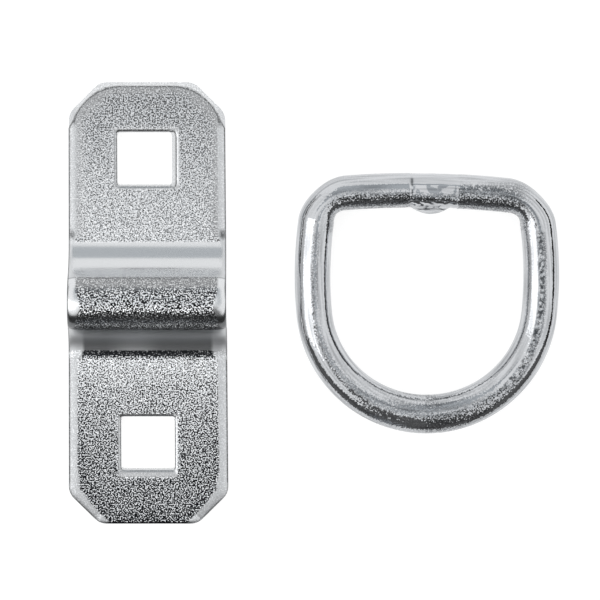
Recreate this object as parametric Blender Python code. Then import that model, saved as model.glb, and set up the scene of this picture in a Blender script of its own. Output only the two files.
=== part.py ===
"""Lashing ring in two loose pieces: a pressed saddle plate and the welded D ring that it holds down.

The saddle plate is modelled the way it is made. A flat blank with cut-off corners and two square holes
is drawn first, its upper edges rounded by the blanking, and then it is folded over the saddle's profile.
The ring is round wire bent to a D and butt welded in its straight bar, with a bead under the weld.
The two lie side by side on the surface. Metres, +Z up, the plate's length along Y.
"""

import math

import bmesh
import bpy
from mathutils import Vector

# Sheet and blank
SHEET = 0.0020  # thickness of the steel sheet
FOOT_WIDTH = 0.0270  # across the foot at the blanked end
CROPPED_WIDTH = 0.0262  # across the foot at the cropped end, which is a little narrower
HOLE_PITCH = 0.0484  # between the centres of the two square holes
BLANKED_MARGIN = 0.0139  # hole centre to the blanked end, towards -Y
CROPPED_MARGIN = 0.0127  # hole centre to the cropped end, towards +Y
CORNER_CUT = 0.0052  # each corner is cut off at 45 degrees, this far along both edges
CORNER_ROUND = 0.0030  # radius where a cut meets an edge
EDGE_ROLL_WIDTH = 0.0014  # how far the blanking rounds the upper edge inwards
EDGE_ROLL_DEPTH = 0.0006  # and how far down

# Square holes for the necks of coach bolts
HOLE_SIDE = 0.0091
HOLE_ROUND = 0.0007  # radius of the hole's corners
HOLE_ROLL_WIDTH = 0.0007
HOLE_ROLL_DEPTH = 0.0003

# Saddle
SADDLE_SHIFT = 0.0005  # the saddle sits this far from the middle of the holes, towards +Y
SADDLE_CLEARANCE = 0.0002  # all round the wire, under the crest
SADDLE_PLAY = 0.0005  # room left above the wire when the plate is bolted down
DRAW_RADIUS = 0.0055  # hollow bend between each foot and the saddle's flank

# Ring
WIRE = 0.0060  # diameter of the wire, and height of the ring as it lies
BOW_RADIUS = 0.0190  # round end, to the middle of the wire
BAR_HEIGHT = 0.0190  # middle of the bar above the centre of the round end
BAR_CROWN = 0.1500  # radius of the bar's slight arch
BAR_DROOP = 0.0170  # slope of the bar, which the bending left out of square
LEG_RADIUS = 0.0700  # the legs bow out slightly
LEG_START = math.radians(5)  # where the round end passes into a leg, below its centre
BEND_RADIUS = 0.0058  # the two tight bends, to the middle of the wire
BAR_SPREAD = 0.00585  # width of the wire in the bar, seen from above
BEND_SPREAD = 0.0053  # drawn thinner in the two tight bends
LEG_SPREAD = 0.0061
BOW_SPREAD = 0.0066  # pressed wider round the bow

# Butt weld in the bar
WELD_SHIFT = 0.0014  # middle of the weld from the middle of the bar
WELD_LENGTH = 0.0077
WELD_DRESSING = 0.0003  # ground off the top of the wire
BEAD_SHIFT = 0.0005  # lowest point of the bead from the middle of the bar
BEAD_LENGTH = 0.0072
BEAD_DROP = 0.0012  # how far the bead stands out under the bar

# The two pieces as they lie
LAID_GAP = 0.0112  # clear space between plate and ring

# Fineness of the curves
CORNER_STEPS = 5
HOLE_STEPS = 3
ROLL_STEPS = 3
FOLD_STEP = math.radians(7.5)
BAR_STEP = 0.0007
BEND_STEPS = 9
LEG_STEPS = 4
BOW_STEPS = 15
WIRE_SIDES = 24

# Worked out from the sizes above
HOLE_OFFSET = HOLE_PITCH / 2
SADDLE_RADIUS = WIRE / 2 + SADDLE_CLEARANCE  # under the crest
SADDLE_RISE = WIRE + SADDLE_PLAY  # height of the tunnel, and of the crest above the feet


def clear_scene():
    """Remove every object, so that the model starts from nothing."""
    for item in list(bpy.data.objects):
        bpy.data.objects.remove(item, do_unlink=True)


def zinc_plated_steel(name, color, roughness):
    """Bright zinc over steel: a metal with a pale, slightly blue grey."""
    material = bpy.data.materials.new(name)
    material.use_nodes = True
    shader = material.node_tree.nodes["Principled BSDF"]
    shader.inputs["Base Color"].default_value = (*color, 1.0)
    shader.inputs["Metallic"].default_value = 1.0
    shader.inputs["Roughness"].default_value = roughness
    material.diffuse_color = (*color, 1.0)
    return material


def finish_object(name, mesh, material, place):
    """Put a finished mesh in the scene as one smooth-shaded piece."""
    mesh.materials.append(material)
    mesh.shade_smooth()
    mesh.set_sharp_from_angle(angle=math.radians(35))
    piece = bpy.data.objects.new(name, mesh)
    piece.location = place
    bpy.context.scene.collection.objects.link(piece)
    return piece


# Profile of the saddle

class SaddleFold:
    """The line down the middle of the sheet, from the crest out to a foot, and the fold along it.

    A bend over the wire turns down by `slope`, a straight flank follows where the rise needs one, and
    the hollow bend turns back until the sheet lies flat. Both sides of the saddle are the same.
    """

    def __init__(self):
        self.crest_radius = SADDLE_RADIUS + SHEET / 2
        self.draw_radius = DRAW_RADIUS + SHEET / 2
        reach = self.crest_radius + self.draw_radius
        self.slope = math.acos(max(0.0, 1 - SADDLE_RISE / reach))
        self.flank = max(0.0, SADDLE_RISE - reach)
        self.crest_end = self.crest_radius * self.slope
        self.flank_end = self.crest_end + self.flank
        self.foot_start = self.flank_end + self.draw_radius * self.slope
        self.half_span = reach * math.sin(self.slope) + self.flank * math.cos(self.slope)
        self.shortening = self.foot_start - self.half_span

    def stations(self):
        """Distances along the flat blank where the fold needs an edge, from one foot to the other."""
        steps = max(2, math.ceil(self.slope / FOLD_STEP))
        half = [self.crest_end * i / steps for i in range(1, steps + 1)]
        if self.flank > 0:
            half.append(self.flank_end)
        bend = self.foot_start - self.flank_end
        half += [self.flank_end + bend * i / steps for i in range(1, steps + 1)]
        return [-s for s in reversed(half)] + [0.0] + half

    def fold(self, along, height):
        """Where a point of the flat blank goes: `along` from the crest line, `height` above the table."""
        side = math.copysign(1.0, along)
        distance = abs(along)
        off_middle = height - SHEET / 2
        if distance <= self.crest_end:
            turn = distance / self.crest_radius
            out = self.crest_radius * math.sin(turn)
            up = SADDLE_RISE + SHEET / 2 - self.crest_radius * (1 - math.cos(turn))
        elif distance <= self.flank_end:
            turn = self.slope
            down = distance - self.crest_end
            out = self.crest_radius * math.sin(turn) + down * math.cos(turn)
            up = SADDLE_RISE + SHEET / 2 - self.crest_radius * (1 - math.cos(turn)) - down * math.sin(turn)
        elif distance <= self.foot_start:
            turn = (self.foot_start - distance) / self.draw_radius
            out = self.half_span - self.draw_radius * math.sin(turn)
            up = SHEET / 2 + self.draw_radius * (1 - math.cos(turn))
        else:
            return side * (distance - self.shortening), height
        return side * (out + off_middle * math.sin(turn)), up + off_middle * math.cos(turn)


# Saddle plate

def rounded_loop(corners, radius, offset, steps):
    """A closed outline through rounded corners, moved outwards by `offset` from the true edge.

    Corners run anticlockwise. Every offset has the same number of points, so two loops can be bridged.
    """
    points = []
    for i, corner in enumerate(corners):
        before = (corner - corners[i - 1]).normalized()
        after = (corners[(i + 1) % len(corners)] - corner).normalized()
        turn = math.atan2(before.x * after.y - before.y * after.x, before.dot(after))
        inward = (after - before).normalized()
        centre = corner + inward * (radius / math.cos(turn / 2))
        start = math.atan2(-before.x, before.y)
        for k in range(steps + 1):
            angle = start + turn * k / steps
            points.append(centre + (radius + offset) * Vector((math.cos(angle), math.sin(angle))))
    return points


def blank_corners(fold):
    """The blank's corners in the flat: a strip with four corners cut off, narrower at one end."""
    low = -(HOLE_OFFSET + BLANKED_MARGIN + SADDLE_SHIFT + fold.shortening)
    high = HOLE_OFFSET + CROPPED_MARGIN - SADDLE_SHIFT + fold.shortening
    wide = FOOT_WIDTH / 2
    narrow = CROPPED_WIDTH / 2
    right = [
        (wide - CORNER_CUT, low),
        (wide, low + CORNER_CUT),
        (narrow, high - CORNER_CUT),
        (narrow - CORNER_CUT, high),
    ]
    return [Vector(p) for p in right] + [Vector((-x, y)) for x, y in reversed(right)]


def hole_corners(middle):
    """The corners of a square hole centred at `middle` on the blank's long axis."""
    half = HOLE_SIDE / 2
    return [Vector((x * half, middle + y * half)) for x, y in ((-1, -1), (1, -1), (1, 1), (-1, 1))]


def edge_levels(roll_width, roll_depth):
    """How far in and how high each loop of a blanked edge lies, from the underside to the flat top."""
    levels = [(0.0, 0.0)]
    for k in range(ROLL_STEPS + 1):
        turn = math.pi / 2 * k / ROLL_STEPS
        levels.append((roll_width * (1 - math.cos(turn)), SHEET - roll_depth * (1 - math.sin(turn))))
    return levels


def add_wall(mesh, corners, radius, steps, levels, outward):
    """Stack one outline's loops up the edge of the sheet and join them. Returns the end loops' edges."""
    loops = []
    for inset, height in levels:
        outline = rounded_loop(corners, radius, -outward * inset, steps)
        loops.append([mesh.verts.new((p.x, p.y, height)) for p in outline])
    for lower, upper in zip(loops, loops[1:]):
        for i in range(len(lower)):
            mesh.faces.new((lower[i - 1], lower[i], upper[i], upper[i - 1]))
    ends = []
    for loop in (loops[0], loops[-1]):
        ends.append([mesh.edges.get((loop[i - 1], loop[i])) for i in range(len(loop))])
    return ends


def make_blank(fold):
    """The flat blank as a closed mesh, lying on the table with the crest line along X."""
    mesh = bmesh.new()
    edge = edge_levels(EDGE_ROLL_WIDTH, EDGE_ROLL_DEPTH)
    hole_edge = edge_levels(HOLE_ROLL_WIDTH, HOLE_ROLL_DEPTH)
    under, over = add_wall(mesh, blank_corners(fold), CORNER_ROUND, CORNER_STEPS, edge, 1)
    for side in (-1, 1):
        corners = hole_corners(side * (HOLE_OFFSET + fold.shortening) - SADDLE_SHIFT)
        hole_under, hole_over = add_wall(mesh, corners, HOLE_ROUND, HOLE_STEPS, hole_edge, -1)
        under += hole_under
        over += hole_over
    for rim in (under, over):
        bmesh.ops.triangle_fill(mesh, use_beauty=True, use_dissolve=False, edges=rim)
    return mesh


def make_saddle_plate(material, place):
    """Score the blank across at every station of the fold, then bend it over the saddle's profile."""
    fold = SaddleFold()
    mesh = make_blank(fold)
    for station in fold.stations():
        blank = mesh.verts[:] + mesh.edges[:] + mesh.faces[:]
        across = Vector((0, station, 0))
        bmesh.ops.bisect_plane(mesh, geom=blank, dist=1e-7, plane_co=across, plane_no=(0, 1, 0))
    for vertex in mesh.verts:
        along, height = fold.fold(vertex.co.y, vertex.co.z)
        vertex.co.y = along + SADDLE_SHIFT
        vertex.co.z = height
    bmesh.ops.recalc_face_normals(mesh, faces=mesh.faces[:])
    plate = bpy.data.meshes.new("saddle_plate")
    mesh.to_mesh(plate)
    mesh.free()
    return finish_object("saddle_plate", plate, material, place)


# D ring

def ease(share):
    """A smooth step from 0 to 1."""
    share = min(1.0, max(0.0, share))
    return share * share * (3 - 2 * share)


class RingLine:
    """The middle of the wire: bar, tight bend, leg and bow, four arcs on each side that meet smoothly.

    A place on it is named by `heading`, the direction that points straight out of the ring there: a
    quarter turn up at the middle of the bar, and a quarter turn down at the bottom of the bow.
    """

    def __init__(self):
        self.bar_centre = Vector((0, BAR_HEIGHT - BAR_CROWN))
        offset = LEG_RADIUS - BOW_RADIUS
        self.leg_centre = Vector((-offset * math.cos(LEG_START), offset * math.sin(LEG_START)))
        self.bend_centre = self.meet(BAR_CROWN - BEND_RADIUS, LEG_RADIUS - BEND_RADIUS)
        self.bar_end = self.heading(self.bend_centre - self.bar_centre)
        self.bend_end = self.heading(self.bend_centre - self.leg_centre)

    @staticmethod
    def heading(direction):
        return math.atan2(direction.y, direction.x)

    def meet(self, from_bar, from_leg):
        """The centre of the tight bend, at these distances from the centres of its two neighbours."""
        between = self.leg_centre - self.bar_centre
        span = between.length
        along = (span**2 + from_bar**2 - from_leg**2) / (2 * span)
        across = math.sqrt(from_bar**2 - along**2)
        unit = between / span
        return self.bar_centre + unit * along + Vector((unit.y, -unit.x)) * across

    def headings(self):
        """Headings of the right half, from the middle of the bar down to the bottom of the bow."""
        half_bar = BAR_CROWN * (math.pi / 2 - self.bar_end)
        arcs = [
            (math.pi / 2, self.bar_end, math.ceil(half_bar / BAR_STEP)),
            (self.bar_end, self.bend_end, BEND_STEPS),
            (self.bend_end, -LEG_START, LEG_STEPS),
            (-LEG_START, -math.pi / 2, BOW_STEPS),
        ]
        turns = [start + (end - start) * k / steps for start, end, steps in arcs for k in range(steps)]
        return turns + [-math.pi / 2]

    def point(self, heading):
        """The middle of the wire, and how wide the wire is there seen from above."""
        outward = Vector((math.cos(heading), math.sin(heading)))
        if heading >= self.bar_end:
            middle = self.bar_centre + outward * BAR_CROWN
            width = BAR_SPREAD
        elif heading >= self.bend_end:
            middle = self.bend_centre + outward * BEND_RADIUS
            share = (self.bar_end - heading) / (self.bar_end - self.bend_end)
            if share < 0.5:
                width = BAR_SPREAD + (BEND_SPREAD - BAR_SPREAD) * ease(2 * share)
            else:
                width = BEND_SPREAD + (LEG_SPREAD - BEND_SPREAD) * ease(2 * share - 1)
        elif heading >= -LEG_START:
            middle = self.leg_centre + outward * LEG_RADIUS
            width = LEG_SPREAD
        else:
            middle = outward * BOW_RADIUS
            share = (-LEG_START - heading) / (math.pi / 2 - LEG_START)
            width = LEG_SPREAD + (BOW_SPREAD - LEG_SPREAD) * ease(share)
        return middle, outward, width

    def sections(self):
        """Every section round the ring, clockwise from the middle of the bar."""
        right = [self.point(heading) for heading in self.headings()]
        left = []
        for middle, outward, width in reversed(right[1:-1]):
            left.append((Vector((-middle.x, middle.y)), Vector((-outward.x, outward.y)), width))
        return right + left

    def half_width(self):
        """From the ring's middle line to the outside of a leg, at its widest."""
        return self.leg_centre.x + LEG_RADIUS + LEG_SPREAD / 2


def bead_bulge(across):
    """How far the weld bead stands out under the bar, `across` from the middle of the bar."""
    share = (across - BEAD_SHIFT) / (BEAD_LENGTH / 2)
    return BEAD_DROP * max(0.0, 1 - share * share)


def wire_section(middle, outward, width, in_bar):
    """Points round one section of the wire, with the weld's bead and its ground top in the bar."""
    half_width = width / 2
    half_height = min(WIRE / 2, (WIRE / 2) ** 2 / half_width)
    bulge = bead_bulge(middle.x) if in_bar else 0.0
    dressed = in_bar and abs(middle.x - WELD_SHIFT) < WELD_LENGTH / 2
    points = []
    for k in range(WIRE_SIDES):
        angle = 2 * math.pi * k / WIRE_SIDES
        out = half_width * math.cos(angle)
        out -= bulge * max(0.0, -math.cos(angle)) ** 1.5
        up = half_height * math.sin(angle)
        if dressed:
            up = min(up, WIRE / 2 - WELD_DRESSING)
        place = middle + outward * out
        lean = BAR_DROOP * place.x * ease(place.y / BAR_HEIGHT)
        points.append((place.x, place.y - lean, WIRE / 2 + up))
    return points


def make_d_ring(line, material, place):
    """Sweep the wire's section round the ring's line."""
    mesh = bmesh.new()
    rings = []
    for middle, outward, width in line.sections():
        in_bar = middle.y > line.bend_centre.y and abs(middle.x) < line.bend_centre.x
        points = wire_section(middle, outward, width, in_bar)
        rings.append([mesh.verts.new(p) for p in points])
    for before, after in zip(rings, rings[1:] + rings[:1]):
        for k in range(WIRE_SIDES):
            mesh.faces.new((before[k - 1], before[k], after[k], after[k - 1]))
    bmesh.ops.recalc_face_normals(mesh, faces=mesh.faces[:])
    ring = bpy.data.meshes.new("d_ring")
    mesh.to_mesh(ring)
    mesh.free()
    return finish_object("d_ring", ring, material, place)


def main():
    clear_scene()
    line = RingLine()
    plate_half = FOOT_WIDTH / 2
    half_across = plate_half + LAID_GAP / 2 + line.half_width()
    middle_of_holes = (BLANKED_MARGIN - CROPPED_MARGIN) / 2
    sheet_zinc = zinc_plated_steel("zinc_plated_sheet", (0.60, 0.62, 0.64), 0.35)
    wire_zinc = zinc_plated_steel("zinc_plated_wire", (0.62, 0.64, 0.66), 0.28)
    make_saddle_plate(sheet_zinc, (plate_half - half_across, middle_of_holes, 0))
    make_d_ring(line, wire_zinc, (half_across - line.half_width(), middle_of_holes, 0))


main()
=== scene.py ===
"""Lashing ring: how the saddle plate and the D ring look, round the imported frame.

The saddle plate is made as the press makes it: a blank with sheared and rolled edges, folded over the
saddle. The D ring is drawn wire, bent and butt welded in its bar. Both are bright zinc plated.
Sizes are in millimetres up to the moment a mesh is handed to Blender. +Z up, the plate's length along Y.
"""

import math

import bmesh
import bpy
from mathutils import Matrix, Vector, noise

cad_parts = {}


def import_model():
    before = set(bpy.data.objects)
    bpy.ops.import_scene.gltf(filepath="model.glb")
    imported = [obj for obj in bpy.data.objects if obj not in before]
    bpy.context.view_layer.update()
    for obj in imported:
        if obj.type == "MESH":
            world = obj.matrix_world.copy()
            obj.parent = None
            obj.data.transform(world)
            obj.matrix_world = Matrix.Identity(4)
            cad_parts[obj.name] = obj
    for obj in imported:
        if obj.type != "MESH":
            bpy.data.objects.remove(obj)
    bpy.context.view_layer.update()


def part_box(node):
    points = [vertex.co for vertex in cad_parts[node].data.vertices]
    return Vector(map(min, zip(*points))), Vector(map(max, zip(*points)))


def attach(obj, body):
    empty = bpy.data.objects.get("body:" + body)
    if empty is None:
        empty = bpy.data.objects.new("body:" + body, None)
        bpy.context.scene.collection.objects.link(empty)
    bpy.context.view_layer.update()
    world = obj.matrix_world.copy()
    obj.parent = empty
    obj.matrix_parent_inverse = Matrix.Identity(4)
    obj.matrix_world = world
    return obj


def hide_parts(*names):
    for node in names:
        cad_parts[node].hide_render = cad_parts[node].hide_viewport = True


MM = 0.001

# Sheet and blank
SHEET = 2.0
FOOT_WIDTH = 27.0
CROPPED_WIDTH = 26.2
HOLE_PITCH = 48.4
BLANKED_MARGIN = 13.9
CROPPED_MARGIN = 12.7
CORNER_CUT = 5.2
CORNER_ROUND = 3.0

# Square holes, each side measured from the hole's middle at the underside
HOLE_SIDES = {"blanked": (-4.6, 4.5, -4.6, 4.25), "cropped": (-5.0, 4.15, -4.55, 4.2)}
HOLE_ROUND = 0.5
HOLE_LEAN = 0.7  # the +X wall of the cropped foot's hole leans out towards the top
REAR_LEAN = 0.35  # and so does the +Y wall of either hole
HOLE_ROLL = 0.55
DRAGGED_ROLL = 1.4  # along the -Y side of the blanked foot's hole
HOLE_DEPTH = 0.28  # how far down the rounding round a hole goes
SQUARE_ON = 0.5  # a wall faces an axis when this much of its normal lies along it

# Saddle
SADDLE_SHIFT = 0.5
CREST_RADIUS = 4.2  # to the middle of the sheet
DRAW_RADIUS = 6.5  # to the middle of the sheet
SADDLE_RISE = 6.5
CREASE_INSET = 0.9  # from the end of the crest's bend up to the die's crease on its +Y side

# Edges of the blank, as the press tool leaves them
BLANKED_ROLL = 1.75  # rounding along the sides and cuts of the blanked foot
BLANKED_START = 6.0  # from the crest line to where it begins to widen to that
BLANKED_RUN = 6.0  # and how far it takes
FLANK_ROLL = 2.8  # along the saddle's -Y flank
FLANK_BLEND = 1.6  # over which one width passes into the next, here and below
CREST_ROLL = 1.5  # over the crest
CREST_BLEND = 2.0
CREST_FLARE = 1.1  # added halfway over the crest
FLARE_SPAN = (-1.4, 0.8)  # where that is, from the crest line
FLARE_BLEND = 2.4
SIDE_ROLL = 1.4  # along the sides of the cropped foot
HOLLOW_ROLL = 0.6  # along the ends of the saddle's +Y hollow
HOLLOW_SHIFT = 0.8  # which starts this far past the crest's bend
HOLLOW_BLEND = 2.4
CORNER_GAIN = 0.4  # added at the blanked foot's corners
CORNER_REACH = 3.2  # how far from a corner its edge differs
END_ROLL = 0.6  # along the blanked end
END_DEPTH = 0.8  # share of the full depth there
END_FACING = 0.9  # that holds where the outline's normal points to -Y by more than this
END_BLEND = 0.12  # and gives way to the side's rounding over this much of the normal
CROP_ROLL = 0.16  # the cropped end is nearly sharp
CROP_LEAN = 0.5  # its wall leans out towards the table
CROP_EXTRA = 0.5  # and its upper edge cuts the corners rounder
CROP_START = 2.4  # its edge begins this far before the corner cuts
CROP_BLEND = 1.6
ROLL_DEPTH = 0.55  # how far down the rounding goes
CROP_DEPTH = 0.12  # and at the cropped end
BURR = 0.10  # height of the chamfer along the lower edge
BURR_SHARE = 0.6  # its width as a share of its height
WALL_SHARES = (0.35, 0.7)  # where the wall between burr and rounding has a loop
EDGE_LINE = 0.15  # width of the dark line of painted shade where a wall turns over into its rounding
ROUND_LOOK = 0.8  # share of a rounding's width that looks smooth

# Ring
WIRE = 6.0
BOW_RADIUS = 19.0
BAR_HEIGHT = 19.0  # middle of the bar above the centre of the round end
BAR_CROWN = 150.0  # radius of the bar's slight arch
BAR_DROOP = 0.0170  # slope of the bar, down towards +X
LEG_RADIUS = 70.0
LEG_START = math.radians(5)  # where the round end passes into a leg, below its centre
BEND_RADIUS = 5.8
BAR_SPREAD = 5.85  # width of the wire in the bar, seen from above
BEND_SPREAD = 5.3
LEG_SPREAD = 6.06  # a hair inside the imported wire
BOW_SPREAD = 6.6

# Butt weld, its places counted across from the bar's middle and up from the bar's middle line
WELD_SHIFT = 1.3
WELD_LENGTH = 7.8
WELD_DRESSING = 0.3  # ground off the top of the wire
WELD_MARGIN = 1.0  # how far past its ends the wire is still marked
GROOVE_DEPTH = 0.14  # upset groove at the weld's -X end
GROOVE_WIDTH = 0.16
RIDGE_HEIGHT = 0.12  # upset ridge at its +X end
RIDGE_WIDTH = 0.14
FLAT_LUMPS = 0.10  # depth of the lumps on the ground flat
FLAT_LUMP_SIZE = 1.7
BEAD_SHIFT = 0.5
BEAD_LENGTH = 7.2
BEAD_DROP = 1.35  # how far the bead stands out into the ring
BEAD_SAG = math.radians(22)  # it hangs this far below the wire's middle height
BEAD_UNDERCUT = 5  # the larger, the sharper the crease above the bead
BEAD_LUMPS = 0.3  # depth of the lumps round the bead
BEAD_LUMP_SIZE = 0.7
NOTCH_TONE = 0.9  # painted shade in the upset groove
NOTCH_WIDTH = 0.22
NOTCH_SPAN = (1.0, 2.3)  # from where up to where
LINE_TONE = 1.1  # painted shade along the crease on the bead
LINE_SPAN = (-3.2, -2.95)  # between which heights it lies
LINE_WANDER = 0.35  # how far it strays up and down

# Waves, pits and lines that bending and drawing leave in the wire
WAVE_SIZE = 0.8  # length of a wave
WAVE_HEIGHT = 0.012
PIT_SIZE = 0.5
PIT_DEPTH = 0.1
PIT_TONE = 2.2  # how much their grey differs
PIT_BAND = (-0.16, 0.14)  # over the wire's top, as shares of its radius
PIT_START = 12.0  # they lie on the +X leg, from this X
PIT_TOP = 14.0  # and below this Y
PIT_FADE = 3.0
DRAWN_LINES = 9.0  # a radian round the wire
DRAWN_REACH = 6.0  # how far a line runs along it
DRAWN_TONE = 0.5  # how much their grey differs

# How strong the wire's grain is at each place, and how grey the wire
PLAIN_GRAIN = 0.2
BAR_GRAIN = 1.6  # low on the bar
BAR_GRAIN_REACH = 16.0  # to either side of the ring's middle
WELD_LOSS = 0.8  # share that is lost on the weld's flat and bead
BOW_GRAIN = 0.8  # round the bow and along the rubbed band
RUBBED_BAND = (-0.1, 0.3)  # over the legs' top, as shares of the wire's radius
RUBBED_RIGHT = 1.8  # how much stronger that is on the +X leg
WIRE_TONE = 0.08
GRAIN_TONE = 0.35  # added for a grain of 1

# How strong the sheet's grain is at each place
FOOT_GRAIN = 1.6  # on the blanked foot
FAR_GRAIN = 0.4  # added towards that foot's end
CROPPED_GRAIN = 0.85  # on the cropped foot
CROPPED_RIM_GRAIN = 0.2  # at the edge of the cropped foot's flat face
CREST_GRAIN = 1.4  # along the top of the crest
CREST_GRAIN_SPAN = (-1.0, 1.8)  # where that is, from the crest line
LOWER_GRAIN = 0.42  # on the crest's -Y side
UPPER_GRAIN = 0.25  # on its +Y side
LIP_GRAIN = 0.3  # where the -Y flank runs out into the foot
ROLLED_GRAIN = 0.12  # left on the feet's rounded edges
TURNED_LOSS = 0.8  # share that is lost where a foot turns over into the blanked end

# How matt the sheet is at each place, from 0 polished to 1 matt
PLAIN_MATTE = 0.25  # feet and crest
HOLLOW_MATTE = 0.3
FLANK_MATTE = 0.8  # the -Y flank, which the die has rubbed
ROLLED_MATTE = 1.0
CREST_END_MATTE = 0.4  # the rounded edge where it crosses the crest

# How grey the sheet is at each place, from 0 bright to 1 dull; several of these are painted shade
WALL_TONE = 0.1  # sheared walls
CROPPED_TONE = 0.28  # cropped foot, at the saddle; painted shade darkens it away from there
CROPPED_FAR_TONE = 0.56
CROPPED_RIM_SHARE = 0.8  # how far its rim goes towards the far tone
BLANKED_FAR_TONE = 1.5  # blanked foot, at its end, darkened by painted shade
BLANKED_FALL = 1.56  # how much brighter it is at the saddle
BLANKED_CURVE = 1.5  # 1 would be an even change, and more comes later
BLANKED_RIM_TONE = 0.6  # added along that foot's rim, at its end
CREST_TONE = 0.6
LOWER_CREST_TONE = 0.78  # on the crest's -Y side, darker by painted shade
HOLLOW_TONE = 0.06
HOLLOW_END_TONE = 0.12  # rounded edge at the ends of a hollow
FLANK_TONE = 0.9  # painted shade on the -Y flank, strongest where it reaches its lip
LIT_FLANK = 0.4  # painted light: how much brighter it is left of the middle
LIT_SPAN = (-5.0, 0.5)  # where that is, across from the plate's middle
LIT_BLEND = 5.0
LIP_TONE = 1.2  # painted shade where that flank runs out into the foot
LEFT_ROLL_TONE = 0.3  # rounded edges of the feet, at -X, darker by painted shade
RIGHT_ROLL_TONE = 0.08  # and at +X, without it
PUNCHED_TONE = 0.35  # rounded edges of the holes
UNDER_TONE = 0.8  # painted shade on the rounded edge below the crest, on its -Y side
TORN_TONE = 0.8  # painted shade: a dark line at the top of a sheared wall
PINCH_TONE = 0.8  # painted shade where the cropped foot's rounded sides end
TURNED_TONE = 0.95  # painted shade where the blanked foot turns over into its end
CREASE_TONE = 0.6  # the die's crease
CREASE_WIDTH = 0.25

# Colours and roughness of the zinc: bright and dull, polished and matt
SHEET_COLORS = ("#E8EAEC", "#25272A")
WIRE_COLORS = ("#C8CACD", "#56595C")
SHEET_ROUGHNESS = (0.1, 0.42)
WIRE_ROUGHNESS = 0.05

# Grain of the pickled steel under the zinc
SHEET_GRAIN = 0.23  # across one speck
SHEET_TILT = 1.1  # how steeply the specks lean
SHEET_SWING = 6.5  # how much their grey differs
BASE_TONE = 0.14  # least grey of the zinc, outside the painted highlight in the +Y hollow
DARK_SPECKS = 0.05  # bright specks stand out more than dark ones
WIRE_GRAIN = 0.25
WIRE_TILT = 0.45
WIRE_SWING = 1.6

# Fineness
GRID = 0.7  # spacing of the cuts through the sheet
FOLD_STEP = math.radians(2.5)
OUTLINE_STEP = 1.2
CORNER_STEPS = 12
HOLE_STEPS = 6
ROLL_STEPS = 8
WIRE_SIDES = 112
BAR_STEP = 0.18
RING_STEP = 0.35
SAME_PLACE = 1e-4  # points this close to a cut lie on it
SHARP = math.radians(35)  # faces that meet at more than this keep a sharp edge

# Camera
CAMERA_DISTANCE = 800.0
CAMERA_TILT = math.radians(8.5)
CAMERA_TARGET = (-2.2, 0.6, 0.0)  # the point that it looks at
VIEW_WIDTH = 101.2  # seen across the picture at that distance
SENSOR = 36.0
NEAREST = 50.0  # the camera sees nothing that is closer
FARTHEST = 10000.0

# Studio
CARD_HEIGHT = 380.0
CARD_GAP = 1  # between the table and a card that stands on it
TABLE_HALF = 2500  # half the table's side
TABLE_GAP = 0.02  # between the table and the part
TABLE_COLOR = "#959595"
TABLE_GLOW = 0.83  # where 1 is white
ROOM_LIGHT = 1.1

# Worked out from the sizes above
WELD_LEFT = WELD_SHIFT - WELD_LENGTH / 2
WELD_RIGHT = WELD_SHIFT + WELD_LENGTH / 2


# Helpers

def ease(share):
    """A smooth step from 0 to 1."""
    share = min(1.0, max(0.0, share))
    return share * share * (3 - 2 * share)


def mix(a, b, share):
    return a + (b - a) * share


def within(value, low, high, soft):
    """1 between low and high, falling softly to 0 outside them."""
    return ease((value - low) / soft + 0.5) * ease((high - value) / soft + 0.5)


def linear(hex_color):
    """An sRGB hex colour as the linear numbers that a shader takes."""
    parts = [int(hex_color[i:i + 2], 16) / 255 for i in (1, 3, 5)]
    parts = [c / 12.92 if c <= 0.04045 else ((c + 0.055) / 1.055) ** 2.4 for c in parts]
    return (*parts, 1.0)


def add_node(tree, kind, inputs=None, **settings):
    """Add a node, set its options, and fill or link its inputs."""
    node = tree.nodes.new(kind)
    for name, value in settings.items():
        setattr(node, name, value)
    for name, value in (inputs or {}).items():
        if isinstance(value, bpy.types.NodeSocket):
            tree.links.new(value, node.inputs[name])
        else:
            node.inputs[name].default_value = value
    return node


# Saddle plate

class SaddleFold:
    """The middle line of the sheet from the crest out to a foot, and the fold along it."""

    def __init__(self):
        reach = CREST_RADIUS + DRAW_RADIUS
        self.slope = math.acos(1 - SADDLE_RISE / reach)
        self.crest_end = CREST_RADIUS * self.slope
        self.foot_start = self.crest_end + DRAW_RADIUS * self.slope
        self.half_span = reach * math.sin(self.slope)
        self.shortening = self.foot_start - self.half_span

    def stations(self, low, high):
        """Where the flat blank is scored across: close together in the bends, wider in the feet."""
        steps = math.ceil(self.slope / FOLD_STEP)
        half = [self.crest_end * i / steps for i in range(steps + 1)]
        bend = self.foot_start - self.crest_end
        half += [self.crest_end + bend * i / steps for i in range(1, steps + 1)]
        lines = half + [-s for s in half[1:]]
        for end, side in ((high, 1), (-low, -1)):
            count = math.ceil((end - self.foot_start) / GRID)
            lines += [side * mix(self.foot_start, end, i / count) for i in range(1, count)]
        return sorted(lines)

    def fold(self, along, height):
        """Where a point of the blank goes: `along` from the crest line, `height` above the table."""
        side = math.copysign(1.0, along)
        distance = abs(along)
        off = height - SHEET / 2
        if distance <= self.crest_end:
            turn = distance / CREST_RADIUS
            out = CREST_RADIUS * math.sin(turn)
            up = SADDLE_RISE + SHEET / 2 - CREST_RADIUS * (1 - math.cos(turn))
        elif distance <= self.foot_start:
            turn = (self.foot_start - distance) / DRAW_RADIUS
            out = self.half_span - DRAW_RADIUS * math.sin(turn)
            up = SHEET / 2 + DRAW_RADIUS * (1 - math.cos(turn))
        else:
            return side * (distance - self.shortening), height
        return side * (out + off * math.sin(turn)), up + off * math.cos(turn)


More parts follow.
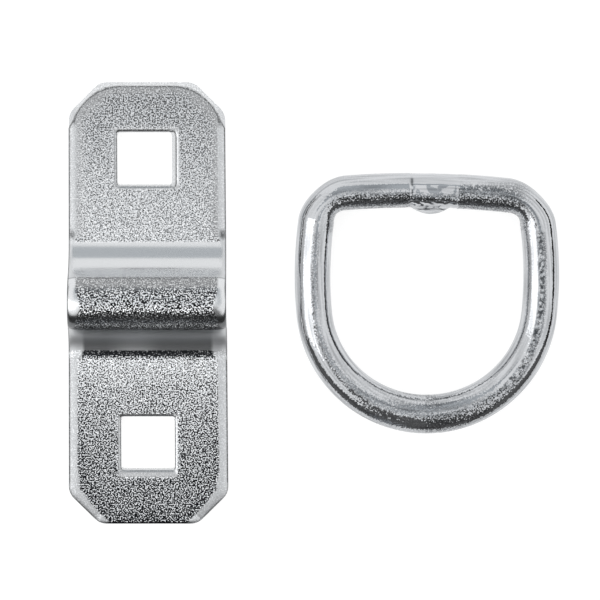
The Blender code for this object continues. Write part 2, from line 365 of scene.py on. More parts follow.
class Blank:
    """The flat blank's outline, and how far a place lies inside each of its edges."""

    def __init__(self, fold):
        self.fold = fold
        self.low = -(HOLE_PITCH / 2 + BLANKED_MARGIN + SADDLE_SHIFT + fold.shortening)
        self.high = HOLE_PITCH / 2 + CROPPED_MARGIN - SADDLE_SHIFT + fold.shortening

    def half_width(self, along):
        """The sides run together a little towards the cropped end."""
        start = self.low + CORNER_CUT
        end = self.high - CORNER_CUT
        share = min(1.0, max(0.0, (along - start) / (end - start)))
        return mix(FOOT_WIDTH, CROPPED_WIDTH, share) / 2

    def corners(self):
        """A strip with four corners cut off, anticlockwise."""
        wide = FOOT_WIDTH / 2
        narrow = CROPPED_WIDTH / 2
        right = [
            (wide - CORNER_CUT, self.low),
            (wide, self.low + CORNER_CUT),
            (narrow, self.high - CORNER_CUT),
            (narrow - CORNER_CUT, self.high),
        ]
        return [Vector(p) for p in right] + [Vector((-x, y)) for x, y in reversed(right)]

    def near_corner(self, point):
        """1 at a corner of the outline, falling to 0 a few millimetres from it."""
        return 1 - ease(min((point - corner).length for corner in self.corners()) / CORNER_REACH)

    def depths(self, across, along):
        """Distances inwards from the nearest side, corner cut and end."""
        half = self.half_width(along)
        end = self.high if along > 0 else -self.low
        cut = (half + end - CORNER_CUT - abs(across) - abs(along)) / math.sqrt(2)
        return half - abs(across), cut, end - abs(along)

    def hole_middle(self, side):
        """Where a hole's middle is along the flat blank: side 1 is the cropped foot's, -1 the other."""
        return side * (HOLE_PITCH / 2 + self.fold.shortening) - SADDLE_SHIFT

    def side_roll(self, along):
        """How wide the rounding along a side is: widest on the saddle's -Y flank, least at its hollow."""
        bend = self.fold.crest_end
        if along > -bend:
            crest = within(along, -bend, bend, CREST_BLEND)
            flare = CREST_FLARE * within(along, *FLARE_SPAN, FLARE_BLEND)
            pressed = within(along, bend + HOLLOW_SHIFT, self.fold.foot_start, HOLLOW_BLEND)
            return mix(mix(SIDE_ROLL, CREST_ROLL + flare, crest), HOLLOW_ROLL, pressed)
        flank = within(-along, bend, self.fold.foot_start, FLANK_BLEND)
        foot = mix(CREST_ROLL, BLANKED_ROLL, ease((-along - BLANKED_START) / BLANKED_RUN))
        return mix(foot, FLANK_ROLL, flank)


def rounded_outline(corners, radius, steps, spacing):
    """Points and outward normals round a closed anticlockwise outline with rounded corners."""
    arcs = []
    for i, corner in enumerate(corners):
        before = (corner - corners[i - 1]).normalized()
        after = (corners[(i + 1) % len(corners)] - corner).normalized()
        turn = math.atan2(before.x * after.y - before.y * after.x, before.dot(after))
        centre = corner + (after - before).normalized() * (radius / math.cos(turn / 2))
        start = math.atan2(-before.x, before.y)
        arc = []
        for k in range(steps + 1):
            angle = start + turn * k / steps
            normal = Vector((math.cos(angle), math.sin(angle)))
            arc.append((centre + radius * normal, normal))
        arcs.append(arc)
    outline = []
    for arc, following in zip(arcs, arcs[1:] + arcs[:1]):
        outline += arc
        end, normal = arc[-1]
        run = following[0][0] - end
        count = math.ceil(run.length / spacing)
        outline += [(end + run * i / count, normal) for i in range(1, count)]
    return outline


def hole_corners(middle, sides):
    """The corners of a square hole whose middle is at `middle` along the blank."""
    left, right, low, high = sides
    return [Vector((x, middle + y)) for x, y in ((left, low), (right, low), (right, high), (left, high))]


def blank_edge(blank, point, normal):
    """Width, depth and lean of the sheared edge at one place of the blank's outline."""
    if point.y > 0:
        cropped = ease((point.y - (blank.high - CORNER_CUT - CROP_START)) / CROP_BLEND)
        lean = cropped * (CROP_LEAN + CROP_EXTRA * blank.near_corner(point))
        width = mix(blank.side_roll(point.y), CROP_ROLL, cropped)
        return width, mix(ROLL_DEPTH, CROP_DEPTH, cropped), lean
    side = ease((normal.y + END_FACING) / END_BLEND)
    width = mix(END_ROLL, blank.side_roll(point.y) + CORNER_GAIN * blank.near_corner(point), side)
    return width, mix(END_DEPTH, 1.0, side) * ROLL_DEPTH, 0.0


def hole_edge(normal, foot):
    """Width, depth and lean of the punched edge on one side of a hole."""
    width = HOLE_ROLL
    lean = 0.0
    if normal.y > SQUARE_ON:
        lean = REAR_LEAN
    if foot == "cropped" and normal.x > SQUARE_ON:
        lean = HOLE_LEAN
    if foot == "blanked" and normal.y < -SQUARE_ON:
        width = DRAGGED_ROLL
    return width, HOLE_DEPTH, lean


def edge_profile(width, depth, lean):
    """How far in and how high the edge's loops lie, from the underside to the flat top."""
    wall = SHEET - depth
    levels = [(BURR * BURR_SHARE, 0.0), (0.0, BURR)]
    for share in WALL_SHARES:
        levels.append((lean * share, mix(BURR, wall, share)))
    for k in range(ROLL_STEPS + 1):
        turn = math.pi / 2 * k / ROLL_STEPS
        levels.append((lean + width * (1 - math.cos(turn)), SHEET - depth * (1 - math.sin(turn))))
    return levels


def add_wall(mesh, outline, profiles, outward):
    """Stack an outline's loops up the edge of the sheet and join them. Returns the end loops' edges."""
    torn = mesh.verts.layers.float["torn"]
    loops = []
    for level in range(len(profiles[0])):
        loop = []
        for (point, normal), profile in zip(outline, profiles):
            inset, height = profile[level]
            place = point - normal * (outward * inset)
            vertex = mesh.verts.new((place.x, place.y, height))
            dragged = outward < 0 and normal.y < -SQUARE_ON
            # mark the dark line of painted shade where the wall turns over into its rounding
            if level >= len(profile) - ROLL_STEPS - 1 and not dragged:
                vertex[torn] = 1.0 if inset - profile[-ROLL_STEPS - 1][0] < EDGE_LINE else 0.0
            loop.append(vertex)
        loops.append(loop)
    for lower, upper in zip(loops, loops[1:]):
        for i in range(len(lower)):
            mesh.faces.new((lower[i - 1], lower[i], upper[i], upper[i - 1]))
    ends = (loops[0], loops[-1])
    return [[mesh.edges.get((loop[i - 1], loop[i])) for i in range(len(loop))] for loop in ends]


def score(mesh, places, direction):
    """Cut the whole mesh across at each place along one direction."""
    for place in places:
        everything = mesh.verts[:] + mesh.edges[:] + mesh.faces[:]
        point = Vector(direction) * place
        cut = {"plane_co": point, "plane_no": direction, "dist": SAME_PLACE}
        bmesh.ops.bisect_plane(mesh, geom=everything, **cut)


def make_blank(blank):
    """The flat blank in millimetres, its crest line along X."""
    mesh = bmesh.new()
    mesh.verts.layers.float.new("torn")
    outline = rounded_outline(blank.corners(), CORNER_ROUND, CORNER_STEPS, OUTLINE_STEP)
    profiles = [edge_profile(*blank_edge(blank, point, normal)) for point, normal in outline]
    under, over = add_wall(mesh, outline, profiles, 1)
    for foot, side in (("blanked", -1), ("cropped", 1)):
        corners = hole_corners(blank.hole_middle(side), HOLE_SIDES[foot])
        hole = rounded_outline(corners, HOLE_ROUND, HOLE_STEPS, OUTLINE_STEP)
        profiles = [edge_profile(*hole_edge(normal, foot)) for _, normal in hole]
        hole_under, hole_over = add_wall(mesh, hole, profiles, -1)
        under += hole_under
        over += hole_over
    for rim in (under, over):
        bmesh.ops.triangle_fill(mesh, use_beauty=True, use_dissolve=False, edges=rim)
    score(mesh, blank.fold.stations(blank.low, blank.high), (0, 1, 0))
    count = math.floor(CROPPED_WIDTH / 2 / GRID)
    score(mesh, [GRID * i for i in range(-count, count + 1)], (1, 0, 0))
    return mesh


class SheetFinish:
    """How the zinc looks at each place of the blank.

    A place is `across` from the plate's middle and `along` the flat sheet from the crest line. The bare
    numbers in the methods say, in millimetres, where a zone starts and over what length it fades.
    """

    def __init__(self, blank):
        self.blank = blank
        self.fold = blank.fold
        self.crease = self.fold.crest_end - CREASE_INSET

    def crest(self, along):
        """1 over the crest, from the -Y flank to the crease."""
        return within(along, -self.fold.crest_end, self.crease, 0.4)

    def rolled(self, across, along):
        """1 on the rounding along the sides and the blanked foot's corner cuts."""
        side, cut, _ = self.blank.depths(across, along)
        width = self.blank.side_roll(along)
        depth = side if along > 0 else min(side, cut) - 0.5 * (1 - ease(abs(side - cut) / 3))
        return 1 - ease((depth - width * ROUND_LOOK) / 0.4)

    def hollow(self, along):
        """1 in the pressed hollows, which the die has polished smooth."""
        start = self.crease if along > 0 else self.fold.crest_end
        return within(abs(along), start, self.fold.foot_start - 0.1, 0.5)

    def punched(self, across, along):
        """1 on the rounding round a hole."""
        side = 1 if along > 0 else -1
        left, right, low, high = HOLE_SIDES["cropped" if along > 0 else "blanked"]
        from_middle = along - self.blank.hole_middle(side)
        high += REAR_LEAN
        if side > 0:
            right += HOLE_LEAN
        else:
            low -= DRAGGED_ROLL - HOLE_ROLL
        outside = max(left - across, across - right, low - from_middle, from_middle - high)
        return 1 - ease((outside - HOLE_ROLL * ROUND_LOOK) / 0.3)

    def on_foot(self, along):
        """1 on the flat feet, 0 on the saddle."""
        return ease((abs(along) - self.fold.foot_start + 0.2) / 0.3)

    def lip(self, along):
        """1 where the -Y flank runs out into the foot: the die hardly touches it there, and painted shade
        falls there too.
        """
        start = self.fold.foot_start
        return within(-along, start - 1.3, start + 0.2, 0.2)

    def rim(self, across, along):
        """1 at the edge of a foot's flat face, 0 from a few millimetres inside it."""
        side, cut, end = self.blank.depths(across, along)
        width = self.blank.side_roll(along)
        return 1 - ease(min(side - width, cut - width, end - END_ROLL) / 2.4)

    def burnished(self, along):
        """1 where a painted highlight brightens the steep part of the +Y hollow."""
        return within(along, self.crease + 0.1, self.fold.crest_end + 1.6, 0.4)

    def creased(self, along):
        """1 along the thin line that the die's edge has left."""
        return 1 - ease(abs(along - self.crease) / CREASE_WIDTH)

    def pinched(self, across, along):
        """1 where painted shade darkens the ends of the cropped foot's rounded sides, at the saddle and at
        the cropped corners.
        """
        depth = self.blank.half_width(along) - abs(across)
        start = self.fold.foot_start
        corner = self.blank.high - CORNER_CUT
        foot_end = within(along, start + 0.3, start + 1.8, 1.2) * within(depth, 0.1, 1.1, 0.9)
        side_end = within(along, corner - 1.8, corner + 0.6, 1.0) * within(depth, -0.5, 1.4, 0.8)
        return max(foot_end, side_end)

    def turned(self, across, along):
        """How much painted shade darkens the flat face where it turns over into the blanked end."""
        if along >= 0:
            return 0.0
        _, cut, end = self.blank.depths(across, along)
        return TURNED_TONE * (1 - ease((end - 0.2) / 0.4)) * ease(cut / 1.5)

    def speckle(self, across, along):
        """How strong the sheet's grain is."""
        foot = self.fold.foot_start
        if along > foot:
            strength = mix(CROPPED_GRAIN, CROPPED_RIM_GRAIN, self.rim(across, along))
        else:
            far = ease((-along - foot) / (self.blank.hole_middle(1) - foot))
            fine = mix(LOWER_GRAIN, UPPER_GRAIN, ease(along / 2))
            saddle = mix(fine, CREST_GRAIN, within(along, *CREST_GRAIN_SPAN, 1.2))
            strength = mix(FOOT_GRAIN + FAR_GRAIN * far, saddle, self.crest(along))
        strength *= 1 - TURNED_LOSS * self.turned(across, along)
        smooth = max(self.rolled(across, along), self.hollow(along), self.punched(across, along))
        return max(LIP_GRAIN * self.lip(along), mix(strength, ROLLED_GRAIN * self.on_foot(along), smooth))

    def matte(self, across, along):
        """How matt the surface is: most along the rounded sides, least on the feet and the crest."""
        crest = self.crest(along)
        flank = FLANK_MATTE * ease(-along - self.fold.crest_end + 0.5)
        saddle = max(PLAIN_MATTE * crest, HOLLOW_MATTE * self.hollow(along), flank)
        face = mix(saddle, PLAIN_MATTE, self.on_foot(along))
        return mix(face, mix(ROLLED_MATTE, CREST_END_MATTE, crest), self.rolled(across, along))

    def tone(self, across, along, height, torn):
        """How grey the zinc is, from 0 bright to 1 dull, painted shade included, before the painted
        highlight and the die's crease.
        """
        if height < SHEET - ROLL_DEPTH - 0.05:
            return WALL_TONE
        rolled = self.rolled(across, along)
        punched = self.punched(across, along)
        rounding = self.rounding_tone(across, along, punched)
        # painted shade: the dark line atop the sheared walls, the ends of the cropped foot's rounded sides,
        # and the turn into the blanked end
        dull = max(TORN_TONE * torn, PINCH_TONE * self.pinched(across, along), self.turned(across, along))
        return max(dull, mix(self.face_tone(across, along), rounding, max(rolled, punched)))

    def face_tone(self, across, along):
        """How grey the sheet's broad face is, over the feet, the crest and the flanks, with painted shade on
        much of it.
        """
        # painted shade: the crest grows darker towards its -Y side
        lower = ease(0.45 - along / 4)
        crest = self.crest(along) * mix(CREST_TONE, LOWER_CREST_TONE, lower)
        grained = self.on_foot(along) * self.foot_tone(across, along) + crest
        grained += HOLLOW_TONE * self.hollow(along)
        return max(grained, self.flank_tone(across, along), LIP_TONE * self.lip(along))

    def rounding_tone(self, across, along, punched):
        """How grey the rounded edges are, with painted shade at -X and below the crest's -Y side."""
        side = LEFT_ROLL_TONE if across < 0 else RIGHT_ROLL_TONE
        foot = mix(side, PUNCHED_TONE, punched) * self.on_foot(along)
        # painted shade under the crest, on its -Y side
        under = within(along, -self.fold.crest_end - 0.2, -1.7, 0.8)
        return max(foot, HOLLOW_END_TONE * self.hollow(along), UNDER_TONE * under)

    def flank_tone(self, across, along):
        """Painted shade darkens the -Y flank from the crest down to its lip, less left of the middle."""
        share = (-along - self.fold.crest_end) / (self.fold.foot_start - self.fold.crest_end)
        if not 0 < share < 1:
            return 0.0
        return (FLANK_TONE - LIT_FLANK * within(across, *LIT_SPAN, LIT_BLEND)) * share

    def foot_tone(self, across, along):
        """How grey a foot's flat face is: painted shade darkens both away from the saddle, the blanked one
        more, and each is greyer along its rim.
        """
        rim = self.rim(across, along)
        foot = self.fold.foot_start
        if along > 0:
            far = ease((along - foot) / self.blank.hole_middle(1))
            return mix(CROPPED_TONE, CROPPED_FAR_TONE, max(far, CROPPED_RIM_SHARE * rim))
        near = min(1.0, max(0.0, (along - self.blank.low) / (-foot - self.blank.low)))
        return BLANKED_FAR_TONE - BLANKED_FALL * near**BLANKED_CURVE + BLANKED_RIM_TONE * rim * (1 - near)

    def finished_tone(self, across, along, height, torn):
        """The tone with the zinc's own grey, the painted highlight in the +Y hollow, and the die's crease.
        """
        tone = mix(BASE_TONE, 1.0, self.tone(across, along, height, torn))
        # painted highlight: the steep part of the +Y hollow is drawn brighter, as its reflection looks
        tone *= 1 - self.burnished(along) * (1 - self.rolled(across, along))
        return max(tone, CREASE_TONE * self.creased(along))


def make_saddle_plate(material, place):
    """The finished plate: blank, scored, folded, with its finish written at every point."""
    fold = SaddleFold()
    blank = Blank(fold)
    finish = SheetFinish(blank)
    mesh = make_blank(blank)
    layers = {name: mesh.verts.layers.float.new(name) for name in ("speckle", "matte", "tone")}
    torn = mesh.verts.layers.float["torn"]
    for vertex in mesh.verts:
        across, along, height = vertex.co
        vertex[layers["speckle"]] = finish.speckle(across, along)
        vertex[layers["matte"]] = finish.matte(across, along)
        vertex[layers["tone"]] = finish.finished_tone(across, along, height, vertex[torn])
        out, up = fold.fold(along, height)
        vertex.co = (across, out + SADDLE_SHIFT, up)
    bmesh.ops.recalc_face_normals(mesh, faces=mesh.faces[:])
    return finish_piece("saddle_plate_zinc", mesh, material, place)


def finish_piece(name, mesh, material, place):
    """Hand a mesh made in millimetres to Blender as one smooth-shaded piece in metres."""
    for vertex in mesh.verts:
        vertex.co = (vertex.co + Vector(place)) * MM
    data = bpy.data.meshes.new(name)
    mesh.to_mesh(data)
    mesh.free()
    data.materials.append(material)
    data.shade_smooth()
    data.set_sharp_from_angle(angle=SHARP)
    piece = bpy.data.objects.new(name, data)
    bpy.context.scene.collection.objects.link(piece)
    return piece


# D ring

class RingLine:
    """The middle of the wire: bar, tight bend, leg and bow, four arcs a side that meet smoothly."""

    def __init__(self):
        self.bar_centre = Vector((0, BAR_HEIGHT - BAR_CROWN))
        offset = LEG_RADIUS - BOW_RADIUS
        self.leg_centre = Vector((-offset * math.cos(LEG_START), offset * math.sin(LEG_START)))
        self.bend_centre = self.meet(BAR_CROWN - BEND_RADIUS, LEG_RADIUS - BEND_RADIUS)
        self.bar_end = self.heading(self.bend_centre - self.bar_centre)
        self.bend_end = self.heading(self.bend_centre - self.leg_centre)

    @staticmethod
    def heading(direction):
        return math.atan2(direction.y, direction.x)

    def meet(self, from_bar, from_leg):
        """The centre of the tight bend, at these distances from its neighbours' centres."""
        between = self.leg_centre - self.bar_centre
        span = between.length
        along = (span**2 + from_bar**2 - from_leg**2) / (2 * span)
        across = math.sqrt(from_bar**2 - along**2)
        unit = between / span
        return self.bar_centre + unit * along + Vector((unit.y, -unit.x)) * across

    def headings(self):
        """Headings of the right half, from the middle of the bar to the bottom of the bow."""
        arcs = [
            (math.pi / 2, self.bar_end, BAR_CROWN, BAR_STEP),
            (self.bar_end, self.bend_end, BEND_RADIUS, BAR_STEP),
            (self.bend_end, -LEG_START, LEG_RADIUS, RING_STEP),
            (-LEG_START, -math.pi / 2, BOW_RADIUS, RING_STEP),
        ]
        turns = []
        for start, end, radius, step in arcs:
            count = math.ceil((start - end) * radius / step)
            turns += [mix(start, end, k / count) for k in range(count)]
        return turns + [-math.pi / 2]

    def point(self, heading):
        """The middle of the wire, the way out of the ring, and the wire's width seen from above."""
        outward = Vector((math.cos(heading), math.sin(heading)))
        if heading >= self.bar_end:
            return self.bar_centre + outward * BAR_CROWN, outward, BAR_SPREAD
        if heading >= self.bend_end:
            share = (self.bar_end - heading) / (self.bar_end - self.bend_end)
            if share < 0.5:
                width = mix(BAR_SPREAD, BEND_SPREAD, ease(2 * share))
            else:
                width = mix(BEND_SPREAD, LEG_SPREAD, ease(2 * share - 1))
            return self.bend_centre + outward * BEND_RADIUS, outward, width
        if heading >= -LEG_START:
            return self.leg_centre + outward * LEG_RADIUS, outward, LEG_SPREAD
        share = (-LEG_START - heading) / (math.pi / 2 - LEG_START)
        return outward * BOW_RADIUS, outward, mix(LEG_SPREAD, BOW_SPREAD, ease(share))

    def sections(self):
        """Every section round the ring, clockwise from the middle of the bar."""
        right = [self.point(heading) for heading in self.headings()]
        left = []
        for middle, outward, width in reversed(right[1:-1]):
            left.append((Vector((-middle.x, middle.y)), Vector((-outward.x, outward.y)), width))
        return right + left

    def in_bar(self, middle):
        """Whether a section belongs to the straight bar, between its two bends."""
        return middle.y > self.bend_centre.y and abs(middle.x) < self.bend_centre.x


def bead_bulge(across):
    """How far the weld bead stands out under the bar."""
    share = (across - BEAD_SHIFT) / (BEAD_LENGTH / 2)
    return BEAD_DROP * max(0.0, 1 - share * share)


def weld_relief(across, inward):
    """How much lower than the round wire the weld's surface lies, from its upset groove and ridge."""
    groove = GROOVE_DEPTH * math.exp(-(((across - WELD_LEFT) / GROOVE_WIDTH) ** 2))
    ridge = RIDGE_HEIGHT * math.exp(-(((across - WELD_RIGHT) / RIDGE_WIDTH) ** 2)) * ease(inward + 0.6)
    return groove - ridge


def waves(point, size, height):
    """How far a worked surface lies under its true shape at one point: never above it."""
    return height * (0.5 - 0.5 * noise.noise(point / size))


def pitted(facing, middle):
    """1 along the top of the +X leg, which is pitted as a bending roller leaves it."""
    leg = ease((middle.x - PIT_START) / PIT_FADE) * ease((PIT_TOP - middle.y) / PIT_FADE)
    return within(facing, *PIT_BAND, 0.12) * leg


def weld_lumps(across, inward, point):
    """Hammered and molten lumps on the weld's dressed flat and round its bead."""
    near = within(across, WELD_LEFT, WELD_RIGHT, 0.8)
    bead = ease((inward - 0.2) / 0.3) * within(across, BEAD_SHIFT - 3.9, BEAD_SHIFT + 3.6, 1.0)
    flat = near * waves(point, FLAT_LUMP_SIZE, FLAT_LUMPS)
    return flat + bead * waves(point, BEAD_LUMP_SIZE, BEAD_LUMPS)


def around_wire(middle, outward, angle):
    """The point of a plain round wire at one angle: outward at 0, up at a quarter turn."""
    out = outward * (WIRE / 2 * math.cos(angle))
    return Vector((middle.x + out.x, middle.y + out.y, WIRE / 2 * math.sin(angle)))


def wire_section(middle, outward, width, in_bar):
    """Points round one section of the wire."""
    half_width = width / 2
    half_height = min(WIRE / 2, (WIRE / 2) ** 2 / half_width)
    bulge = bead_bulge(middle.x) if in_bar else 0.0
    dressed = in_bar and abs(middle.x - WELD_SHIFT) < WELD_LENGTH / 2
    near_weld = in_bar and abs(middle.x - WELD_SHIFT) < WELD_LENGTH / 2 + WELD_MARGIN
    points = []
    for k in range(WIRE_SIDES):
        angle = 2 * math.pi * k / WIRE_SIDES
        inward = -math.cos(angle)
        around = around_wire(middle, outward, angle)
        facing = (around.x - middle.x) / (WIRE / 2)
        sink = waves(around, WAVE_SIZE, WAVE_HEIGHT)
        sink += pitted(facing, middle) * waves(around, PIT_SIZE, PIT_DEPTH)
        if near_weld and math.sin(angle) > -0.3:
            sink += weld_relief(middle.x, inward) + weld_lumps(middle.x, inward, around)
        out = (half_width - sink) * math.cos(angle)
        out -= bulge * max(0.0, -math.cos(angle - BEAD_SAG)) ** BEAD_UNDERCUT
        up = (half_height - sink) * math.sin(angle)
        if dressed:
            up = min(up, WIRE / 2 - WELD_DRESSING - weld_lumps(middle.x, 0, around))
        place = middle + outward * out
        lean = BAR_DROOP * place.x * ease(place.y / BAR_HEIGHT)
        points.append(Vector((place.x, place.y - lean, WIRE / 2 + up)))
    return points


def wire_grain(place, facing):
    """How strong the wire's grain is: most low on the bar, then over the legs' top and round the bow."""
    if place.y > BAR_HEIGHT - BEND_RADIUS - 1:
        beside = ease((place.x - WELD_RIGHT) / 0.4)
        low = ease((BAR_HEIGHT + 0.8 + 1.2 * beside - place.y) / 1.6)
        along = within(place.x, -BAR_GRAIN_REACH, BAR_GRAIN_REACH, 5.0)
        welded = within(place.x, WELD_LEFT, WELD_RIGHT, 0.4)
        dressed = welded * ease((place.y - BAR_HEIGHT + 0.8) / 0.8)
        bead = welded * ease((BAR_HEIGHT - 1.2 - place.y) / 0.8)
        return mix(PLAIN_GRAIN, BAR_GRAIN, along * low) * (1 - WELD_LOSS * max(dressed, bead))
    bottom = ease((-place.y - BOW_RADIUS * 0.5) / (BOW_RADIUS * 0.6))
    rubbed = within(facing, *RUBBED_BAND, 0.1) * (RUBBED_RIGHT if place.x > 0 else 1.0)
    return mix(PLAIN_GRAIN, BOW_GRAIN, max(bottom, rubbed))


def weld_tone(place):
    """How much painted shade darkens the weld in its upset groove and along the crease on its bead."""
    up = place.y - BAR_HEIGHT
    groove = math.exp(-(((place.x - WELD_LEFT) / NOTCH_WIDTH) ** 2)) * within(up, *NOTCH_SPAN, 0.9)
    middle = within(place.x, BEAD_SHIFT - 2.0, BEAD_SHIFT + 2.6, 1.2)
    crease = middle * within(up + LINE_WANDER * noise.noise(place), *LINE_SPAN, 0.2)
    return NOTCH_TONE * groove + LINE_TONE * crease


def drawn_lines(middle, turn):
    """Lighter and darker lines that run along the wire."""
    place = Vector((turn * DRAWN_LINES, middle.x / DRAWN_REACH, middle.y / DRAWN_REACH))
    return DRAWN_TONE * noise.noise(place)


def wire_tone(point, middle, facing, grain, turn):
    """How grey the wire is: duller where it is grainy, pitted or lined by the die, with painted shade in the
    weld's groove and crease.
    """
    pits = pitted(facing, middle) * noise.noise(point / PIT_SIZE)
    plain = WIRE_TONE + GRAIN_TONE * grain + drawn_lines(middle, turn)
    return plain + PIT_TONE * pits + weld_tone(point)


def make_d_ring(line, material, place):
    """Sweep the wire's section round the ring's line."""
    mesh = bmesh.new()
    speckle = mesh.verts.layers.float.new("speckle")
    tone = mesh.verts.layers.float.new("tone")
    rings = []
    for middle, outward, width in line.sections():
        in_bar = line.in_bar(middle)
        ring = []
        for k, point in enumerate(wire_section(middle, outward, width, in_bar)):
            vertex = mesh.verts.new(point)
            facing = (point.x - middle.x) / (WIRE / 2)
            grain = wire_grain(point, facing)
            vertex[speckle] = grain
            vertex[tone] = wire_tone(point, middle, facing, grain, 2 * math.pi * k / WIRE_SIDES)
            ring.append(vertex)
        rings.append(ring)
    for before, after in zip(rings, rings[1:] + rings[:1]):
        for k in range(WIRE_SIDES):
            mesh.faces.new((before[k - 1], before[k], after[k], after[k - 1]))
    bmesh.ops.recalc_face_normals(mesh, faces=mesh.faces[:])
    return finish_piece("d_ring_zinc", mesh, material, place)


# Materials

def attribute(tree, name):
    """A number that the mesh holds at each of its points."""
    return add_node(tree, "ShaderNodeAttribute", attribute_name=name).outputs["Fac"]


def grain_specks(tree, size):
    """Three numbers between 0 and 1 that change from speck to speck."""
    place = add_node(tree, "ShaderNodeTexCoord").outputs["Object"]
    specks = {"Vector": place, "Scale": 1 / (size * MM), "Detail": 0.0}
    return add_node(tree, "ShaderNodeTexNoise", specks).outputs["Color"]


def scattered_normal(tree, grain, tilt):
    """The surface normal, leaning a different way in each speck of the grain."""
    lean = add_node(tree, "ShaderNodeVectorMath", {0: grain, 1: (0.5, 0.5, 0.5)}, operation="SUBTRACT")
    amount = add_node(tree, "ShaderNodeMath", {0: attribute(tree, "speckle"), 1: tilt}, operation="MULTIPLY")
    scaled = {0: lean.outputs["Vector"], "Scale": amount.outputs["Value"]}
    lean = add_node(tree, "ShaderNodeVectorMath", scaled, operation="SCALE")
    normal = add_node(tree, "ShaderNodeNewGeometry").outputs["Normal"]
    total = add_node(tree, "ShaderNodeVectorMath", {0: normal, 1: lean.outputs["Vector"]}, operation="ADD")
    unit = add_node(tree, "ShaderNodeVectorMath", {0: total.outputs["Vector"]}, operation="NORMALIZE")
    return unit.outputs["Vector"]


def zinc(name, colors, size, tilt, swing):
    """A metal that turns from bright to dull with the attribute 'tone', and speck by speck."""
    material = bpy.data.materials.new(name)
    material.use_nodes = True
    tree = material.node_tree
    shader = tree.nodes["Principled BSDF"]
    grain = grain_specks(tree, size)
    shade = add_node(tree, "ShaderNodeSeparateXYZ", {"Vector": grain}).outputs["Y"]
    centred = add_node(tree, "ShaderNodeMath", {0: 0.5, 1: shade}, operation="SUBTRACT").outputs["Value"]
    capped = add_node(tree, "ShaderNodeMath", {0: centred, 1: DARK_SPECKS}, operation="MINIMUM")
    swung = {0: capped.outputs["Value"], 1: swing}
    swung = add_node(tree, "ShaderNodeMath", swung, operation="MULTIPLY").outputs["Value"]
    parts = {0: swung, 1: attribute(tree, "speckle"), 2: attribute(tree, "tone")}
    tone = add_node(tree, "ShaderNodeMath", parts, operation="MULTIPLY_ADD", use_clamp=True)
    bright, dull = (linear(color) for color in colors)
    turned = {0: tone.outputs["Value"], 6: bright, 7: dull}
    color = add_node(tree, "ShaderNodeMix", turned, data_type="RGBA")
    tree.links.new(color.outputs[2], shader.inputs["Base Color"])
    tree.links.new(scattered_normal(tree, grain, tilt), shader.inputs["Normal"])
    shader.inputs["Metallic"].default_value = 1.0
    return material, shader


def zinc_sheet():
    """Bright zinc plate over pickled, rolled steel sheet.

    The pickled grain shows through the thin zinc as sparkling specks, and is pressed smooth in the
    bends and along the sheared edges.
    """
    material, shader = zinc("zinc_plated_sheet", SHEET_COLORS, SHEET_GRAIN, SHEET_TILT, SHEET_SWING)
    tree = material.node_tree
    polished, matt = SHEET_ROUGHNESS
    roughness = {"Value": attribute(tree, "matte"), "To Min": polished, "To Max": matt}
    rough = add_node(tree, "ShaderNodeMapRange", roughness)
    tree.links.new(rough.outputs["Result"], shader.inputs["Roughness"])
    return material


def zinc_wire():
    """Bright zinc plate over drawn steel wire: mirror-like, with fine pits from the drawing die."""
    material, shader = zinc("zinc_plated_wire", WIRE_COLORS, WIRE_GRAIN, WIRE_TILT, WIRE_SWING)
    shader.inputs["Roughness"].default_value = WIRE_ROUGHNESS
    return material


# Studio

def glow(name, strength, color):
    """A card that shines evenly, at a strength where 1 is white."""
    material = bpy.data.materials.new(name)
    material.use_nodes = True
    tree = material.node_tree
    tree.nodes.clear()
    light = add_node(tree, "ShaderNodeEmission", {"Color": linear(color), "Strength": strength})
    add_node(tree, "ShaderNodeOutputMaterial", {"Surface": light.outputs["Emission"]})
    return material


def studio_card(name, strength, corners, color="#FFFFFF"):
    """A card in the studio, which the camera itself doesn't see."""
    data = bpy.data.meshes.new(name)
    data.from_pydata([Vector(c) * MM for c in corners], [], [tuple(range(len(corners)))])
    data.materials.append(glow(name, strength, color))
    card = bpy.data.objects.new(name, data)
    card.visible_camera = False
    bpy.context.scene.collection.objects.link(card)


def overhead(points, height=CARD_HEIGHT):
    """The corners of a card that hangs flat over the table."""
    return [(x, y, height) for x, y in points]


def upright(start, end, top):
    """The corners of a card that stands on the table along a line."""
    return [(*start, CARD_GAP), (*end, CARD_GAP), (*end, top), (*start, top)]


def make_floor():
    """A white table that keeps a faint shadow."""
    half = TABLE_HALF
    data = bpy.data.meshes.new("table")
    corners = [(-half, -half, 0), (half, -half, 0), (half, half, 0), (-half, half, 0)]
    data.from_pydata([Vector(c) * MM for c in corners], [], [(0, 1, 2, 3)])
    material = bpy.data.materials.new("white_table")
    material.use_nodes = True
    tree = material.node_tree
    tree.nodes.clear()
    paths = add_node(tree, "ShaderNodeLightPath").outputs
    seen = paths["Is Camera Ray"]
    for ray in ("Is Glossy Ray", "Is Transmission Ray"):
        seen = add_node(tree, "ShaderNodeMath", {0: seen, 1: paths[ray]}, operation="ADD").outputs["Value"]
    strength = add_node(tree, "ShaderNodeMath", {0: seen, 1: TABLE_GLOW}, operation="MULTIPLY")
    paper = add_node(tree, "ShaderNodeBsdfDiffuse", {"Color": linear(TABLE_COLOR)})
    light = add_node(tree, "ShaderNodeEmission", {"Strength": strength.outputs["Value"]})
    both = add_node(tree, "ShaderNodeAddShader", {0: paper.outputs["BSDF"], 1: light.outputs["Emission"]})
    add_node(tree, "ShaderNodeOutputMaterial", {"Surface": both.outputs["Shader"]})
    data.materials.append(material)
    floor = bpy.data.objects.new("table", data)
    floor.location.z = -TABLE_GAP * MM
    bpy.context.scene.collection.objects.link(floor)


def make_world():
    """A plain white room."""
    world = bpy.data.worlds.new("studio")
    world.use_nodes = True
    background = world.node_tree.nodes["Background"]
    background.inputs["Color"].default_value = linear("#FFFFFF")
    background.inputs["Strength"].default_value = ROOM_LIGHT
    bpy.context.scene.world = world


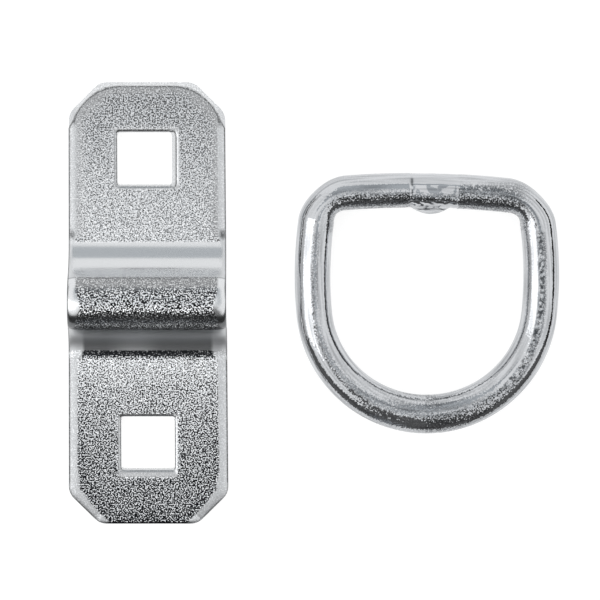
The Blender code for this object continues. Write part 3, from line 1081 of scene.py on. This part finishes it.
def make_studio():
    """A white room: a long light at -X, grey cards overhead, a dark side at -Y, and dark skirting."""
    make_world()
    make_floor()
    key = [(-640, -300), (-135, -160), (-130, -115), (-72, -72), (-66, -30), (-200, 0), (-640, 70)]
    studio_card("key_softbox", 2.1, overhead(key))
    near = [(-66, -250), (-60, -80), (-16, -80), (-8, -140), (20, -104), (35, -128)]
    arm = [(-150, -440), (-90, -300), *near, (95, -200), (140, -290), (200, -440)]
    studio_card("camera_arm", 0.15, overhead(arm, CARD_HEIGHT + 2))
    roof = [(-160, 30), (-20, 100), (34, 165), (34, 0), (26, -90), (125, -90), (125, 520), (-160, 520)]
    studio_card("roof_card", 0.64, overhead(roof, CARD_HEIGHT + 1), "#F6FBFF")
    studio_card("dark_side", 0.14, upright((-1600, -420), (1600, -420), CARD_HEIGHT))
    studio_card("low_card", 0.4, upright((-54, -200), (-22, -200), 100), "#F4F9FF")
    studio_card("grey_side", 0.75, upright((-900, -420), (-900, 900), CARD_HEIGHT))
    studio_card("skirting_left", 0.05, upright((-880, -420), (-880, 700), 110))
    studio_card("skirting_right", 0.03, upright((880, -420), (880, 700), 190))


def make_camera():
    """The photograph's view: from above, leaning a little towards +Y."""
    data = bpy.data.cameras.new("camera")
    data.sensor_width = SENSOR
    data.lens = SENSOR * CAMERA_DISTANCE / VIEW_WIDTH
    data.clip_start = NEAREST * MM
    data.clip_end = FARTHEST * MM
    camera = bpy.data.objects.new("camera", data)
    back = Vector((0, math.sin(CAMERA_TILT), math.cos(CAMERA_TILT)))
    camera.location = (Vector(CAMERA_TARGET) + back * CAMERA_DISTANCE) * MM
    camera.rotation_euler = (-CAMERA_TILT, 0, 0)
    bpy.context.scene.collection.objects.link(camera)
    bpy.context.scene.camera = camera


def middle_of(node):
    """The middle of a CAD node's box, in millimetres."""
    low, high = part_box(node)
    return (low + high) / 2 / MM


def main():
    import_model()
    bpy.context.scene.view_settings.view_transform = "Standard"
    make_camera()
    make_studio()

    middle_of_holes = (BLANKED_MARGIN - CROPPED_MARGIN) / 2
    plate_place = (middle_of("saddle_plate").x, middle_of_holes, 0)
    ring_place = (middle_of("d_ring").x, middle_of_holes, 0)
    plate = make_saddle_plate(zinc_sheet(), plate_place)
    ring = make_d_ring(RingLine(), zinc_wire(), ring_place)
    for piece, node, slot in (
        (plate, "saddle_plate", "zinc_plated_sheet"),
        (ring, "d_ring", "zinc_plated_wire"),
    ):
        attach(piece, "root")
        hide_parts(node)


main()
